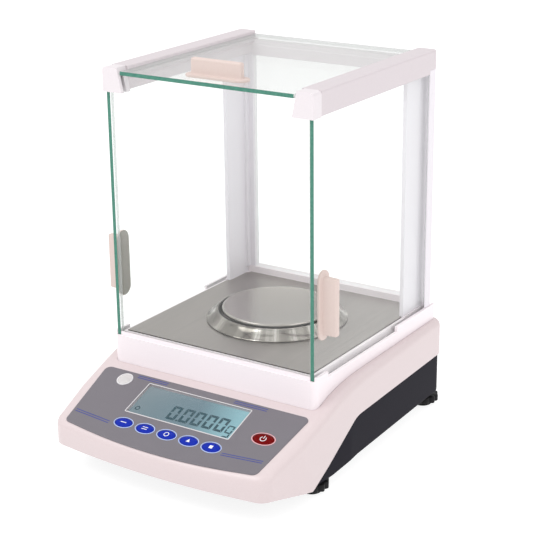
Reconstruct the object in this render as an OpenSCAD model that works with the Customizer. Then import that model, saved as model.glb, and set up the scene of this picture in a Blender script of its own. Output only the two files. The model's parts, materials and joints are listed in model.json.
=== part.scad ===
/* [Overall] */
// Depth of the whole balance, front skirt to the rear foot wheels
depth_all = 283; // [275:1:295]
// Height of the top rails above the table
height_all = 306; // [296:1:316]

/* [Housing] */
// Width of the base at its widest place
base_w = 212; // [208:1:216]
// Slope of the control panel, degrees
panel_tilt = 18.7; // [18:0.1:19.5]
// Wall thickness of the plastic housing
wall = 2.5; // [2:0.1:3]
// Height of the seam between the white and the dark housing at the back
seam_z = 47.4; // [44:0.2:50]

/* [Weighing chamber] */
// Half width over the two top rails
rail_x = 93.8; // [93.6:0.1:95]
// Top of the stainless floor plate
floor_z = 91.5; // [91:0.1:92]
// Thickness of the side door glass
side_glass_t = 3; // [3:0.1:4]
// Thickness of the top, front and rear glass
thin_glass_t = 3; // [2.5:0.1:3]

/* [Pan] */
// Radius of the weighing pan
pan_r = 45; // [40:0.5:45]
// Height of the pan's top face above the table
pan_z = 101.9; // [101:0.1:103]

/* [Feet] */
// Outer radius of a levelling wheel
foot_r = 14; // [12:0.5:14]
// Distance of the front feet from the middle
foot_front_x = 91; // [88:0.5:91]
// Distance of the rear feet from the middle
foot_rear_x = 86.5; // [84:0.5:88]

/* [Keys] */
// Distance between two blue keys
key_pitch = 20.4; // [19:0.1:21]
// Length of a blue key
key_w = 15.6; // [13:0.1:16]

/* [Hidden] */
$fn = 64;

front_y = -depth_all / 2;
foot_rear_y = depth_all / 2 - foot_r;
foot_front_y = -60;
base_rear_y = 135.4;

// Control panel: one sloped plane that passes through (panel_top_y, panel_top_z)
panel_top_y = -68.3;
panel_top_z = 63.2;
function panel_z(y) = panel_top_z + (y - panel_top_y) * tan(panel_tilt);
shoulder_z = 77.2;
shoulder_rear_z = 78.4;

// Deck inside the housing that carries the chamber, and the chamber's outline
deck_z = 64;
tray_x = 95;
tray_front_y = -60.1;
tray_rear_y = 130.6;
rim_z = 88.6;
lip_z = 91.5;
low_lip_z = 87.2;

// Glass planes of the side doors
slit = 0.3;
door_out_x = rail_x - 1.5;
door_in_x = door_out_x - side_glass_t;
door_front_y = -58.4;
door_rear_y = 120.1;
groove_floor_z = 84.6;
pane_seat_z = 86.8;

shield_front_y = -60.9;
shield_rear_y = 123.6;
rail_z = height_all - 18.5;
rail_in_x = 77.5;
cap_len = 11;
top_glass_z = height_all - 5.5;

pan_y = 34.4;
post_x = 83.9;
post_t = 3.6;
post_front_y = 88;
rear_frame_y = 117.6;
sill_z = 97;
sill_y = 116.8;
ring_base_r = 58;
ring_lip_r = 48.3;

white = [0.93, 0.89, 0.9];
post_grey = [0.85, 0.84, 0.87];
navy = [0.22, 0.21, 0.26];
steel = [0.7, 0.69, 0.67];
green_glass = [0.6, 0.8, 0.73, 0.4];
beige = [0.91, 0.83, 0.8];

// ---------- shared helpers ----------

// Places children in the panel's own frame: x across, y up the slope, z out of the face
module on_panel(x, y, lift = 0) {
    translate([x, y, panel_z(y)]) rotate([panel_tilt, 0, 0]) translate([0, 0, lift]) children();
}

// Extrudes a side view (points are [y, z]) across the balance
module side_extrude(half_w) {
    rotate([90, 0, 90]) translate([0, 0, -half_w]) linear_extrude(2 * half_w) children();
}

function arc(cx, cy, r, a0, a1, n) =
    [for (i = [0:n]) let (a = a0 + (a1 - a0) * i / n) [cx + r * cos(a), cy + r * sin(a)]];
function mirrored(pts) = [for (i = [len(pts) - 1:-1:0]) [-pts[i][0], pts[i][1]]];

// Plan outline of the housing, moved in by d on every side
bow = 8;
corner_x = base_w / 2 - 18;
corner_r = 12;
rear_corner_r = 10;
rear_x = base_w / 2 - 4.6;
kink_y = -24;
function bow_y(x) = front_y + bow * pow(x / 100, 2);
function side_pts(d) = [
    [base_w / 2 - 5.4 - d, front_y + 23],
    [base_w / 2 - 1.6 - d, front_y + 50],
    [base_w / 2 - 0.2 - d, front_y + 82],
    [base_w / 2 - d, kink_y]];
function half_plan(d) = concat(
    [for (i = [0:7]) let (x = corner_x * i / 7) [x, bow_y(x) + d]],
    arc(corner_x, bow_y(corner_x) + corner_r, corner_r - d, -80, -12, 6),
    side_pts(d),
    arc(rear_x - rear_corner_r, base_rear_y - rear_corner_r, rear_corner_r - d, 0, 90, 6));
function plan(d) = let (h = half_plan(d))
    concat(h, mirrored([for (i = [1:len(h) - 1]) h[i]]));

// Height of the seam's lower, forward end and of the skirt's underside
skirt_z = 21.8;
skirt_low_y = -79.5;
skirt_low_z = 10.4;
knee_y = -17.4;
seam_slope = atan((seam_z - skirt_low_z) / (knee_y - skirt_low_y));
knee_r = 26;
knee_reach = knee_r * tan(seam_slope / 2);
seam_pts = concat(
    arc(knee_y + knee_reach, seam_z - knee_r, knee_r, 90, 90 + seam_slope, 8),
    [[skirt_low_y, skirt_low_z]]);

// ---------- housing ----------

function top_pts(drop) = [
    [front_y - 4, panel_z(front_y - 4) - drop], [-42, panel_z(-42) - drop],
    [-30, 74.6 - drop], [-16, 76.4 - drop], [0, shoulder_z - drop],
    [base_rear_y + 4, shoulder_rear_z - drop]];

module white_side_view() {
    polygon(concat(top_pts(0), [[base_rear_y + 4, seam_z]], seam_pts,
        [[front_y + 14.5, skirt_z], [front_y - 4, skirt_z]]));
}

module white_inside_view() {
    polygon(concat(top_pts(wall), [[base_rear_y + 4, -5], [front_y - 4, -5]]));
}

module tray_seat() {
    translate([-tray_x - slit, tray_front_y - slit, deck_z])
        cube([2 * (tray_x + slit), tray_rear_y - tray_front_y + 2 * slit, 40]);
}

boss_spots = [[-80, -88], [80, -88], [-88, 60], [88, 60], [-66, 112], [66, 112]];
boss_z = 40;
module at_bosses() {
    for (p = boss_spots) translate([p[0], p[1], 0]) children();
}

module upper_housing() {
    lcd_l = 96;
    lcd_h = 33.4;
    color(white) difference() {
        union() {
            difference() {
                intersection() {
                    side_extrude(base_w) white_side_view();
                    linear_extrude(120) polygon(plan(0));
                }
                // hollow, except for the deck and the blocks beside the chamber
                difference() {
                    intersection() {
                        side_extrude(base_w) white_inside_view();
                        translate([0, 0, -10]) linear_extrude(130) polygon(plan(wall));
                    }
                    translate([-120, tray_front_y - 2.8, deck_z - 2.5])
                        cube([240, 220, 40]);
                }
                tray_seat();
            }
            intersection() {
                at_bosses() translate([0, 0, boss_z]) cylinder(h = 30, r = 4);
                side_extrude(base_w) polygon(concat(
                    [[-60, deck_z - 1]], [[base_rear_y, deck_z - 1], [base_rear_y, 0],
                    [front_y, 0]], [[front_y, panel_z(front_y) - 1], [-62, panel_z(-62) - 1]]));
            }
            // standoffs of the key board
            for (x = [-86, 86], y = [-83, -117]) on_panel(x, y, -6.6) cylinder(h = 5, r = 2.2);
        }
        at_bosses() translate([0, 0, boss_z - 1]) cylinder(h = 12, r = 1.45);
        on_panel(0, lcd_y) translate([-lcd_l / 2, -lcd_h / 2, -20]) cube([lcd_l, lcd_h, 40]);
        for (i = [-2:2]) on_panel(i * key_pitch, key_y) key_shape(key_w / 2 + 0.35, -10, 20);
        on_panel(power_key_x, power_key_y) key_shape(power_key_w / 2 + 0.35, -10, 20);
        on_panel(level_x, level_y, -20) cylinder(h = 40, r = 6.9);
        translate([0, pan_y, 50]) cylinder(h = 20, r = 16);
        at_shield_screws() translate([0, 0, 60]) cylinder(h = 10, r = 1.75);
    }
}

// Plan outline of the dark housing: inside the white skirt in front, nearly flush behind
tuck = 3;
flush = 1.4;
function dark_half(d) = concat(
    [for (i = [0:7]) let (x = (corner_x - 1) * i / 7) [x, bow_y(x) + tuck + d]],
    arc(corner_x, bow_y(corner_x) + corner_r, corner_r - tuck - d, -80, -12, 6),
    [for (i = [0:1]) let (p = side_pts(tuck + d)[i]) p],
    [[base_w / 2 - 3.4 - d, skirt_low_y + 18], [base_w / 2 - flush - d, kink_y]],
    arc(rear_x - rear_corner_r, base_rear_y - rear_corner_r, rear_corner_r - flush - d,
        0, 90, 6));
function dark_plan(d) = let (h = dark_half(d))
    concat(h, mirrored([for (i = [1:len(h) - 1]) h[i]]));

dark_z = 13;
foot_boss_z = 9.6;
tub_y = skirt_low_y + 18;
tub_z = skirt_low_z + 18 * tan(seam_slope);
module dark_side_view() {
    polygon(concat(
        [[base_rear_y + 4, dark_z], [base_rear_y + 4, seam_z]],
        [for (i = [0:len(seam_pts) - 2]) seam_pts[i]],
        [[tub_y, tub_z], [-100, tub_z], [front_y, 31], [front_y, skirt_z + 1.1],
         [front_y + 14.5, skirt_z + 1.1], [-79, foot_boss_z + 1.6], [-76, foot_boss_z],
         [-48, foot_boss_z], [-14, dark_z]]));
}

module dark_inside_view() {
    polygon([[base_rear_y + 4, dark_z + wall], [base_rear_y + 4, 90], [front_y - 4, 90],
        [front_y - 4, skirt_z + 3.6], [front_y + 14.5, skirt_z + 3.6],
        [-94, dark_z + wall]]);
}

inlet_x = 55;
inlet_z = 30;
port_x = -50;
port_z = 30;
board_spots = [[-60, -62], [-22, -62], [-60, -12], [-22, -12]];
cell_spots = [[-36, 8], [36, 8], [-36, 98], [36, 98]];

module lower_housing() {
    color(navy) difference() {
        union() {
            difference() {
                intersection() {
                    side_extrude(base_w) dark_side_view();
                    linear_extrude(80) polygon(dark_plan(0));
                }
                intersection() {
                    side_extrude(base_w) dark_inside_view();
                    translate([0, 0, -5]) linear_extrude(120) polygon(dark_plan(wall));
                }
            }
            for (p = foot_spots) translate([p[0], p[1], foot_boss_z]) cylinder(h = 15, r = 6.5);
            at_bosses() translate([0, 0, 15]) cylinder(h = boss_z - 15, r = 4);
            for (p = cell_spots) translate([p[0], p[1], 14]) cylinder(h = cell_z - 14, r = 4.5);
            for (p = board_spots) translate([p[0], p[1], 14]) cylinder(h = 6, r = 3);
        }
        for (p = foot_spots) translate([p[0], p[1], 5]) cylinder(h = 25, r = 4);
        at_bosses() {
            translate([0, 0, 5]) cylinder(h = 40, r = 1.7);
            translate([0, 0, 5]) cylinder(h = 15, r = 3.4);
        }
        translate([inlet_x - 13.9, base_rear_y - 8, inlet_z - 10.2]) cube([27.8, 16, 20.4]);
        translate([port_x - 10.4, base_rear_y - 8, port_z - 5.6]) cube([20.8, 16, 11.2]);
        // hatch for the hook of weighing below
        translate([-10, pan_y - 10, 5]) cube([20, 20, 20]);
    }
}

module housing_screws() {
    color(steel) at_bosses() {
        translate([0, 0, 17.6]) cylinder(h = 2.4, r = 3);
        translate([0, 0, 19.9]) cylinder(h = 30, r = 1.4);
    }
}

// ---------- control panel ----------

module overlay_outline() {
    polygon(concat(
        arc(90.7, 0, 5, 5, 90, 5), arc(-90.7, 0, 5, 90, 175, 5),
        arc(-84.3, -57.2, 5, 175, 262, 5),
        [for (i = [-5:5]) let (x = 76 * i / 5) [x, -69.3 + 7.2 * pow(x / 84, 2)]],
        arc(84.3, -57.2, 5, -82, 5, 5)));
}

// Places on the panel, as seen from above
overlay_y = panel_top_y - 4.8;
lcd_y = -91.3;
key_y = -118.6;
key_lift = 1.1;
power_key_x = 73.7;
power_key_y = -98.4;
power_key_w = 18;
key_ratio = 0.6;
level_x = -71.4;
level_y = -77.5;

module keypad_overlay() {
    color([0.56, 0.56, 0.58]) difference() {
        on_panel(0, overlay_y, 0) linear_extrude(0.5) overlay_outline();
        on_panel(0, lcd_y) translate([-47.8, -16.5, -1]) cube([95.6, 33, 3]);
        for (i = [-2:2]) on_panel(i * key_pitch, key_y) key_shape(key_w / 2 + 0.35, -1, 2);
        on_panel(power_key_x, power_key_y) key_shape(power_key_w / 2 + 0.35, -1, 2);
        on_panel(level_x, level_y, -1) cylinder(h = 3, r = 6.9);
    }
}

// An oval of half length a, drawn as a scaled outline between two heights
module key_shape(a, z0, h) {
    translate([0, 0, z0]) linear_extrude(h)
        polygon([for (t = [0:10:350]) [a * cos(t), key_ratio * a * sin(t)]]);
}

// A key cap with the stem that presses its switch
module key_body(a) {
    key_shape(a, -1, 1 + key_lift);
    translate([0, 0, -2.6]) cylinder(h = 2, r = 2.2);
}
module blue_key(i) {
    color([0.09, 0.16, 0.66]) on_panel(i * key_pitch, key_y) key_body(key_w / 2);
}
module key_1() { blue_key(-2); }
module key_2() { blue_key(-1); }
module key_3() { blue_key(0); }
module key_4() { blue_key(1); }
module key_5() { blue_key(2); }

module power_key() {
    color([0.66, 0.05, 0.1]) on_panel(power_key_x, power_key_y) key_body(power_key_w / 2);
}

module lcd_window() {
    color([0.75, 0.88, 0.9, 0.6]) on_panel(0, lcd_y)
        translate([-47.6, -16.3, -1.2]) cube([95.2, 32.6, 1.5]);
}

module lcd_module() {
    color([0.55, 0.72, 0.74]) on_panel(0, lcd_y)
        translate([-47.4, -16.1, -6.55]) cube([94.8, 32.2, 5.25]);
}

// Circuit board under the panel, with one switch below each key
module keypad_board() {
    color([0.1, 0.4, 0.2]) {
        difference() {
            on_panel(0, -96) translate([-90, -29, -8.2]) cube([180, 49, 1.6]);
            on_panel(level_x, level_y, -20) cylinder(h = 30, r = 8);
            at_bosses() translate([0, 0, 30]) cylinder(h = 40, r = 4.4);
        }
        for (i = [-2:2]) on_panel(i * key_pitch, key_y, -6.7) cylinder(h = 3.4, r = 3.2);
        on_panel(power_key_x, power_key_y, -6.7) cylinder(h = 3.4, r = 3.2);
    }
}

module level_cup() {
    color([0.85, 0.85, 0.86]) on_panel(level_x, level_y) difference() {
        translate([0, 0, -9]) cylinder(h = 9.9, r = 6.8);
        translate([0, 0, -7.6]) cylinder(h = 10, r = 5.8);
    }
}

module level_lens() {
    color([0.95, 0.95, 0.8, 0.5]) on_panel(level_x, level_y) difference() {
        intersection() {
            translate([0, 0, -7.6]) cylinder(h = 10, r = 5.75);
            translate([0, 0, -12.4]) sphere(r = 14.4);
        }
        translate([0, 0, -6.6]) cylinder(h = 5.8, r = 4.6);
    }
}

module level_bubble() {
    color([0.8, 0.95, 0.7, 0.6]) on_panel(level_x, level_y, -2.6) sphere(r = 1.7);
}

// ---------- chamber ----------

module at_shield_screws() {
    for (x = [-60, 60], y = [-40, 80]) translate([x, y, 0]) children();
}

// Front pane and rear glass: half widths, and the room they need
pane_x = door_in_x - 0.5;
rear_glass_x = 79;
module rear_glass_slot(z0, h) {
    translate([-rear_glass_x - 0.3, 119.9, z0]) cube([2 * rear_glass_x + 0.6, thin_glass_t + 0.3, h]);
}

// Floor plate seen from above: it reaches back between the two rear posts
module floor_outline(d) {
    translate([-86.6 - d, -52.6 - d]) square([2 * (86.6 + d), 139.9 + 2 * d]);
    translate([-83.4 - d, 80]) square([2 * (83.4 + d), 33.1 + d]);
    translate([-81 - d, 100]) square([2 * (81 + d), sill_y - 100.4 + d]);
}

module shield_tray() {
    color(white) difference() {
        union() {
            difference() {
                translate([0, 0, deck_z]) linear_extrude(lip_z - deck_z)
                    polygon(concat(
                        arc(tray_x - 5, tray_front_y + 5, 5, -90, 0, 6),
                        arc(tray_x - 3, tray_rear_y - 3, 3, 0, 90, 4),
                        arc(-tray_x + 3, tray_rear_y - 3, 3, 90, 180, 4),
                        arc(-tray_x + 5, tray_front_y + 5, 5, 180, 270, 6)));
                // front rim is lower than the ledges behind it
                translate([-100, tray_front_y - 1, rim_z]) cube([200, 2.9, 20]);
                // hollow underneath
                translate([-83.5, tray_front_y + 5, deck_z - 1])
                    cube([167, tray_rear_y - tray_front_y - 9, floor_z - 4.5 - deck_z]);
            }
            // rear sill that carries the rear glass
            translate([-post_x + slit, sill_y, lip_z - 1])
                cube([2 * (post_x - slit), 10, sill_z - lip_z + 1]);
            // tubes round the spindle and the screws
            translate([0, pan_y, deck_z]) cylinder(h = 24, r = 17);
            at_shield_screws() translate([0, 0, deck_z]) cylinder(h = 24, r = 4.5);
        }
        // sunken seat of the floor plate
        translate([0, 0, floor_z - 1]) linear_extrude(5) floor_outline(0.2);
        // slot of the front pane
        translate([-pane_x - 0.2, -57.9, pane_seat_z])
            cube([2 * pane_x + 0.4, thin_glass_t + 0.3, 20]);
        // shallow relief that leaves the floor plate standing a little proud
        translate([-door_in_x, -55.1, floor_z - 0.8]) cube([2 * door_in_x, 143, 5]);
        // slot of the rear glass
        rear_glass_slot(sill_z - 6.5, 20);
        for (s = [-1, 1]) {
            // door track, open at the back
            translate([s > 0 ? door_in_x - slit : -door_out_x - slit, door_front_y - slit,
                       groove_floor_z])
                cube([side_glass_t + 2 * slit, 220, 20]);
            // outer lip is lower beside the chamber
            translate([s > 0 ? door_out_x : -door_out_x - 10, -42, low_lip_z])
                cube([10, 106.6, 20]);
            // socket of the rear post
            translate([s > 0 ? post_x - 0.1 : -post_x - post_t - 0.1, post_front_y - 0.1, lip_z - 5])
                cube([post_t + 0.2, shield_rear_y - post_front_y + 0.2, 20]);
            // guide strip stands in a slot of the outer lip
            translate([s > 0 ? door_out_x + 0.35 : -door_out_x - 1.65, 114.0, lip_z - 5])
                cube([1.3, 9.8, 20]);
        }
        translate([0, pan_y, deck_z - 5]) cylinder(h = 40, r = 14);
        at_shield_screws() {
            translate([0, 0, deck_z - 1]) cylinder(h = 40, r = 1.9);
            translate([0, 0, 88]) cylinder(h = 10, r = 3.3);
        }
    }
}

module floor_plate() {
    color(steel) difference() {
        translate([0, 0, floor_z - 1]) linear_extrude(1) floor_outline(0);
        translate([0, pan_y, 0]) cylinder(h = 120, r = 14);
    }
}

// Polished ring that keeps air off the edge of the pan
module draft_ring() {
    t = 0.8;
    color([0.8, 0.79, 0.77]) translate([0, pan_y, floor_z]) rotate_extrude($fn = 128)
        polygon([[ring_base_r - 2.4, 0], [ring_base_r, 0], [ring_base_r, 0.9],
                 [ring_base_r - 3.4, 2.2], [ring_lip_r + 1.6, 7.6], [ring_lip_r + 0.8, 8.2],
                 [ring_lip_r - 0.9, 8.2], [ring_lip_r - 0.9, 7.4], [ring_lip_r + 0.4, 7.2],
                 [ring_base_r - 4.2, 1.5 + t - 0.8], [ring_base_r - 2.4, 0.8]]);
}

module pan() {
    rim = 1.6;
    color([0.78, 0.77, 0.75]) translate([0, pan_y, pan_z]) rotate_extrude($fn = 128)
        polygon([[0, -2], [5.5, -2], [5.5, -1], [pan_r - 2.2, -1], [pan_r - 1.2, -2.6],
                 [pan_r, -2.6], [pan_r, -0.6], [pan_r - 0.7, 0], [pan_r - rim - 0.6, 0],
                 [pan_r - rim - 1.4, -0.2], [0, -0.2]]);
}

// Spindle with a three-armed spider under the pan
module pan_support() {
    pad_z = 96.2;
    color([0.75, 0.75, 0.76]) translate([0, pan_y, 0]) {
        translate([0, 0, hanger_top_z]) cylinder(h = 96 - hanger_top_z, r = 3.5);
        translate([0, 0, 94.6]) cylinder(h = 3, r = 9);
        for (a = [90, 210, 330]) rotate([0, 0, a]) {
            translate([6, -3, 95]) cube([24.6, 6, 2.2]);
            translate([27, 0, pad_z]) cylinder(h = pan_z - 1.15 - pad_z, r = 2.4);
        }
    }
}

module shield_screws() {
    color(steel) at_shield_screws() {
        translate([0, 0, 88]) cylinder(h = 2.2, r = 3);
        translate([0, 0, deck_z - 2.4]) cylinder(h = 88.1 - deck_z + 2.4, r = 1.7);
    }
}

// One top rail on the +X side: slot below for the side door, ledge inside for the top door
module rail_section(y0, len) {
    translate([0, y0 + len, 0]) rotate([90, 0, 0]) linear_extrude(len) difference() {
        polygon([[rail_in_x, rail_z + 1], [rail_in_x + 1, rail_z], [rail_x, rail_z],
                 [rail_x, height_all - 1.6], [rail_x - 0.5, height_all - 0.5],
                 [rail_x - 1.6, height_all], [rail_in_x + 0.6, height_all],
                 [rail_in_x, height_all - 0.6], [rail_in_x, top_glass_z - slit],
                 [rail_in_x - ledge_w, top_glass_z - slit],
                 [rail_in_x - ledge_w, top_glass_z - 2.5], [rail_in_x, top_glass_z - 4]]);
        translate([door_in_x - slit, rail_z - 1]) square([side_glass_t + 2 * slit, 8.6]);
    }
}

ledge_w = 2.6;
beam_top_z = top_glass_z - 1.3;

module top_rail() {
    difference() {
        rail_section(shield_front_y + cap_len, shield_rear_y - shield_front_y - cap_len);
        translate([post_x - 0.1, post_front_y - 0.1, rail_z - 1]) cube([post_t + 0.2, 40, 5]);
        translate([door_out_x + 0.35, 114, rail_z - 1]) cube([1.2, 40, 4.1]);
        translate([rail_in_x - 4, rear_frame_y - 0.1, rail_z - 2])
            cube([8.1, 20, beam_top_z - rail_z + 2.1]);
    }
}

module right_top_rail() { color(white) top_rail(); }
module left_top_rail() { color(white) mirror([1, 0, 0]) top_rail(); }

// End cap of a rail: holds the front pane's corner, its inner side leans outwards
module front_cap() {
    difference() {
        translate([0, shield_front_y + cap_len, 0]) rotate([90, 0, 0]) linear_extrude(cap_len)
            polygon([[rail_in_x + 2.4, height_all], [rail_x - 3, height_all],
                     [rail_x - 0.8, height_all - 0.7], [rail_x, height_all - 2.4],
                     [rail_x, rail_z - 0.8], [rail_in_x - 1.7, rail_z - 0.8]]);
        translate([door_in_x - slit, door_front_y - slit, rail_z - 2])
            cube([side_glass_t + 2 * slit, 40, 9.6]);
        translate([60, -58, rail_z - 3])
            cube([pane_x + 0.3 - 60, thin_glass_t + 0.4, top_glass_z - rail_z + 3]);
    }
}
module front_right_cap() { color(white) front_cap(); }
module front_left_cap() { color(white) mirror([1, 0, 0]) front_cap(); }

module rear_top_beam() {
    color(white) difference() {
        translate([-rail_in_x - 4, rear_frame_y, rail_z - 1.5])
            cube([2 * rail_in_x + 8, 6, beam_top_z - rail_z + 1.5]);
        rear_glass_slot(rail_z - 5, 9);
        for (s = [-1, 1]) translate([s > 0 ? post_x - 7.2 : -post_x - 10, 117, rail_z - 5])
            cube([17.2, 10, 5.2]);
    }
}

// L-shaped rear post on the +X side: side wing along the door, rear wing with the glass
module rear_post() {
    z0 = lip_z - 4.9;
    z1 = rail_z + 3.9;
    difference() {
        union() {
            translate([post_x, post_front_y, z0])
                cube([post_t, shield_rear_y - post_front_y, z1 - z0]);
            translate([post_x - 7, rear_frame_y, sill_z])
                cube([7.1, 6, rail_z - sill_z]);
            translate([post_x - 2.4, rear_frame_y - 4, sill_z])
                cube([2.5, 4.1, rail_z - sill_z - 1.5]);
        }
        rear_glass_slot(z0 + 1, 230);
    }
}
module rear_right_post() { color(post_grey) rear_post(); }
module rear_left_post() { color(post_grey) mirror([1, 0, 0]) rear_post(); }

module guide_strip() {
    translate([door_out_x + 0.4, 114.1, lip_z - 4.9]) cube([1.1, 9.4, rail_z - lip_z + 7.9]);
}
module right_guide_strip() { color(post_grey) guide_strip(); }
module left_guide_strip() { color(post_grey) mirror([1, 0, 0]) guide_strip(); }

module rear_glass() {
    color(green_glass) translate([-rear_glass_x, 120.05, sill_z - 6.4])
        cube([2 * rear_glass_x, thin_glass_t, rail_z + 3.8 - sill_z + 6.4]);
}

module front_glass() {
    color(green_glass) translate([-pane_x, -57.75, pane_seat_z + 0.1])
        cube([2 * pane_x, thin_glass_t, top_glass_z - 0.5 - pane_seat_z]);
}

module side_door() {
    translate([door_in_x, door_front_y, groove_floor_z + slit])
        cube([side_glass_t, door_rear_y - door_front_y, rail_z + 5 - groove_floor_z]);
}
module right_door_glass() { color(green_glass) side_door(); }
module left_door_glass() { color(green_glass) mirror([1, 0, 0]) side_door(); }

module top_door_glass() {
    color(green_glass) translate([-rail_in_x + slit, shield_front_y + 0.3, top_glass_z])
        cube([2 * (rail_in_x - slit), shield_rear_y - shield_front_y - 1, thin_glass_t]);
}

// Door handle in its own frame: plate with round ends in XY, grip fin along Y standing up Z
handle_len = 54.6;
handle_w = 15;
module door_handle() {
    e = handle_len / 2 - handle_w / 2;
    linear_extrude(2) union() {
        translate([-handle_w / 2, -e]) square([handle_w, 2 * e]);
        for (s = [-1, 1]) translate([0, s * e]) circle(r = handle_w / 2);
    }
    translate([-2.6, -handle_len / 2 + 4.8, 1.9]) cube([5.2, handle_len - 9.6, 11.8]);
}
side_handle_y = -46.5;
side_handle_z = 145.2;
module right_door_handle() {
    color(beige) translate([door_out_x, side_handle_y, side_handle_z])
        rotate([90, 0, 90]) door_handle();
}
module left_door_handle() {
    color(beige) translate([-door_out_x, side_handle_y, side_handle_z])
        rotate([90, 0, -90]) door_handle();
}
module top_door_handle() {
    color(beige) translate([0.8, -43.6, top_glass_z + thin_glass_t]) rotate([0, 0, 90])
        door_handle();
}

// ---------- feet ----------

foot_spots = [[-foot_front_x, foot_front_y], [foot_front_x, foot_front_y],
              [-foot_rear_x, foot_rear_y], [foot_rear_x, foot_rear_y]];
wheel_z = 3.3;
wheel_h = 5.8;

module foot_pad(i) {
    color([0.1, 0.1, 0.1]) translate([foot_spots[i][0], foot_spots[i][1], 0]) {
        cylinder(h = 3, r = 8.5);
        translate([0, 0, 2.9]) cylinder(h = 3.2, r = 2.5);
    }
}

// Star wheel with twelve lobes and the threaded stud above it
module foot_wheel(i) {
    lobes = 12;
    color([0.05, 0.05, 0.05]) translate([foot_spots[i][0], foot_spots[i][1], 0]) difference() {
        union() {
            translate([0, 0, wheel_z]) cylinder(h = wheel_h, r = foot_r - 2);
            for (k = [0:lobes - 1]) rotate([0, 0, (k + 0.5) * 360 / lobes])
                translate([foot_r - 2.3, 0, wheel_z]) cylinder(h = wheel_h, r = 2.3, $fn = 32);
            translate([0, 0, wheel_z]) cylinder(h = 22.5, r = 3.93);
        }
        translate([0, 0, wheel_z - 1]) cylinder(h = 4, r = 2.57);
    }
}
module foot_pad_front_left() { foot_pad(0); }
module foot_pad_front_right() { foot_pad(1); }
module foot_pad_rear_left() { foot_pad(2); }
module foot_pad_rear_right() { foot_pad(3); }
module foot_wheel_front_left() { foot_wheel(0); }
module foot_wheel_front_right() { foot_wheel(1); }
module foot_wheel_rear_left() { foot_wheel(2); }
module foot_wheel_rear_right() { foot_wheel(3); }

// ---------- electronics ----------

module main_board() {
    color([0.1, 0.42, 0.22]) {
        translate([-66, -68, 20]) cube([50, 62, 1.6]);
        translate([-58, -60, 21.5]) cube([14, 14, 2.4]);
        translate([-36, -58, 21.5]) cube([12, 8, 3.4]);
        translate([-60, -34, 21.5]) cube([28, 9, 9]);
        for (y = [-38, -26, -14]) translate([-24, y, 21.5]) cylinder(h = 14, r = 4.5);
    }
}

module power_transformer() {
    color([0.45, 0.4, 0.38]) {
        translate([22, -72, 15.5]) difference() {
            cube([48, 40, 34]);
            translate([8, -1, 8]) cube([9, 42, 18]);
            translate([31, -1, 8]) cube([9, 42, 18]);
        }
        translate([22 + 16.8, -78, 15.5 + 7]) cube([14.4, 52, 20]);
    }
}

// Three-pin mains inlet, open to the back
module power_inlet() {
    y1 = base_rear_y + 1.2;
    color([0.08, 0.08, 0.08]) {
        difference() {
            union() {
                translate([inlet_x - 13.6, base_rear_y - 18, inlet_z - 9.9])
                    cube([27.2, 18, 19.8]);
                translate([inlet_x - 19, base_rear_y - 1.4, inlet_z - 12.4])
                    cube([38, 2.6, 24.8]);
            }
            translate([inlet_x - 12, y1 - 16, inlet_z - 8.2]) cube([24, 20, 16.4]);
        }
        for (p = [[-7, 2], [0, -2], [7, 2]])
            translate([inlet_x + p[0] - 1, y1 - 17, inlet_z + p[1] - 2]) cube([2, 12, 4]);
    }
}

module serial_port() {
    color([0.7, 0.7, 0.7]) difference() {
        union() {
            translate([port_x - 15.4, base_rear_y - 1.4, port_z - 6.2]) cube([30.8, 0.9, 12.4]);
            translate([port_x - 9.6, base_rear_y - 12, port_z - 5.2]) cube([19.2, 16.5, 10.4]);
        }
        translate([port_x - 8.7, base_rear_y - 4, port_z - 4.3]) cube([17.4, 12, 8.6]);
    }
}

// ---------- weigh cell ----------

cell_z = 17.4;
base_top_z = cell_z + 5;
guide_low_z = 30;
guide_high_z = 52;
guide_pivot_y = 77.6;
lever_z = 42;
fulcrum_y = pan_y + 14;
coil_y = fulcrum_y + 42;
hanger_top_z = 62.1;

module cell_base() {
    color([0.72, 0.72, 0.74]) difference() {
        union() {
            translate([-42, 2, cell_z]) cube([84, 114, 5]);
            // tower that carries the guides' fixed ends
            for (s = [-1, 1]) translate([s > 0 ? 22 : -34, guide_pivot_y + 0.4, base_top_z - 0.1])
                cube([12, 12, 35]);
            // fulcrum posts of the lever
            for (s = [-1, 1]) translate([s > 0 ? 8.4 : -11.6, fulcrum_y - 4.5, base_top_z - 0.1])
                cube([3.2, 9, 24]);
        }
        for (p = cell_spots) translate([p[0], p[1], 10]) cylinder(h = 20, r = 1.7);
        translate([0, pan_y, 10]) cylinder(h = 20, r = 6);
    }
}

// Vertical coupling under the pan; a hook for weighing below screws into its foot
module hanger() {
    color([0.8, 0.8, 0.82]) translate([0, pan_y, 0]) difference() {
        union() {
            translate([-7, -6, 24]) cube([14, 12, 33]);
            translate([0, 0, 56.9]) cylinder(h = hanger_top_z - 56.9, r = 6.5);
        }
        translate([-4, -7, lever_z - 2.6]) cube([8, 20, 5.2]);
        translate([0, 0, 23]) cylinder(h = 10, r = 2.5);
    }
}

// Triangular parallel guide: two arms that meet round the hanger
module guide(z) {
    t = 1.2;
    hub_y = pan_y - 9.5;
    translate([0, 0, z]) for (s = [-1, 1]) {
        linear_extrude(t) polygon([[s * 8.2, hub_y], [s * 13, hub_y], [s * 13, pan_y - 3],
            [s * 33, guide_pivot_y - 1], [s * 33, guide_pivot_y], [s * 23, guide_pivot_y],
            [s * 23, guide_pivot_y - 1], [s * 8.2, pan_y - 3]]);
        translate([s > 0 ? 0 : -8.3, hub_y, 0]) cube([8.3, 2.9, t]);
    }
}
module upper_guide() { color([0.85, 0.8, 0.6]) guide(guide_high_z); }
module lower_guide() { color([0.85, 0.8, 0.6]) guide(guide_low_z); }

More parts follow.
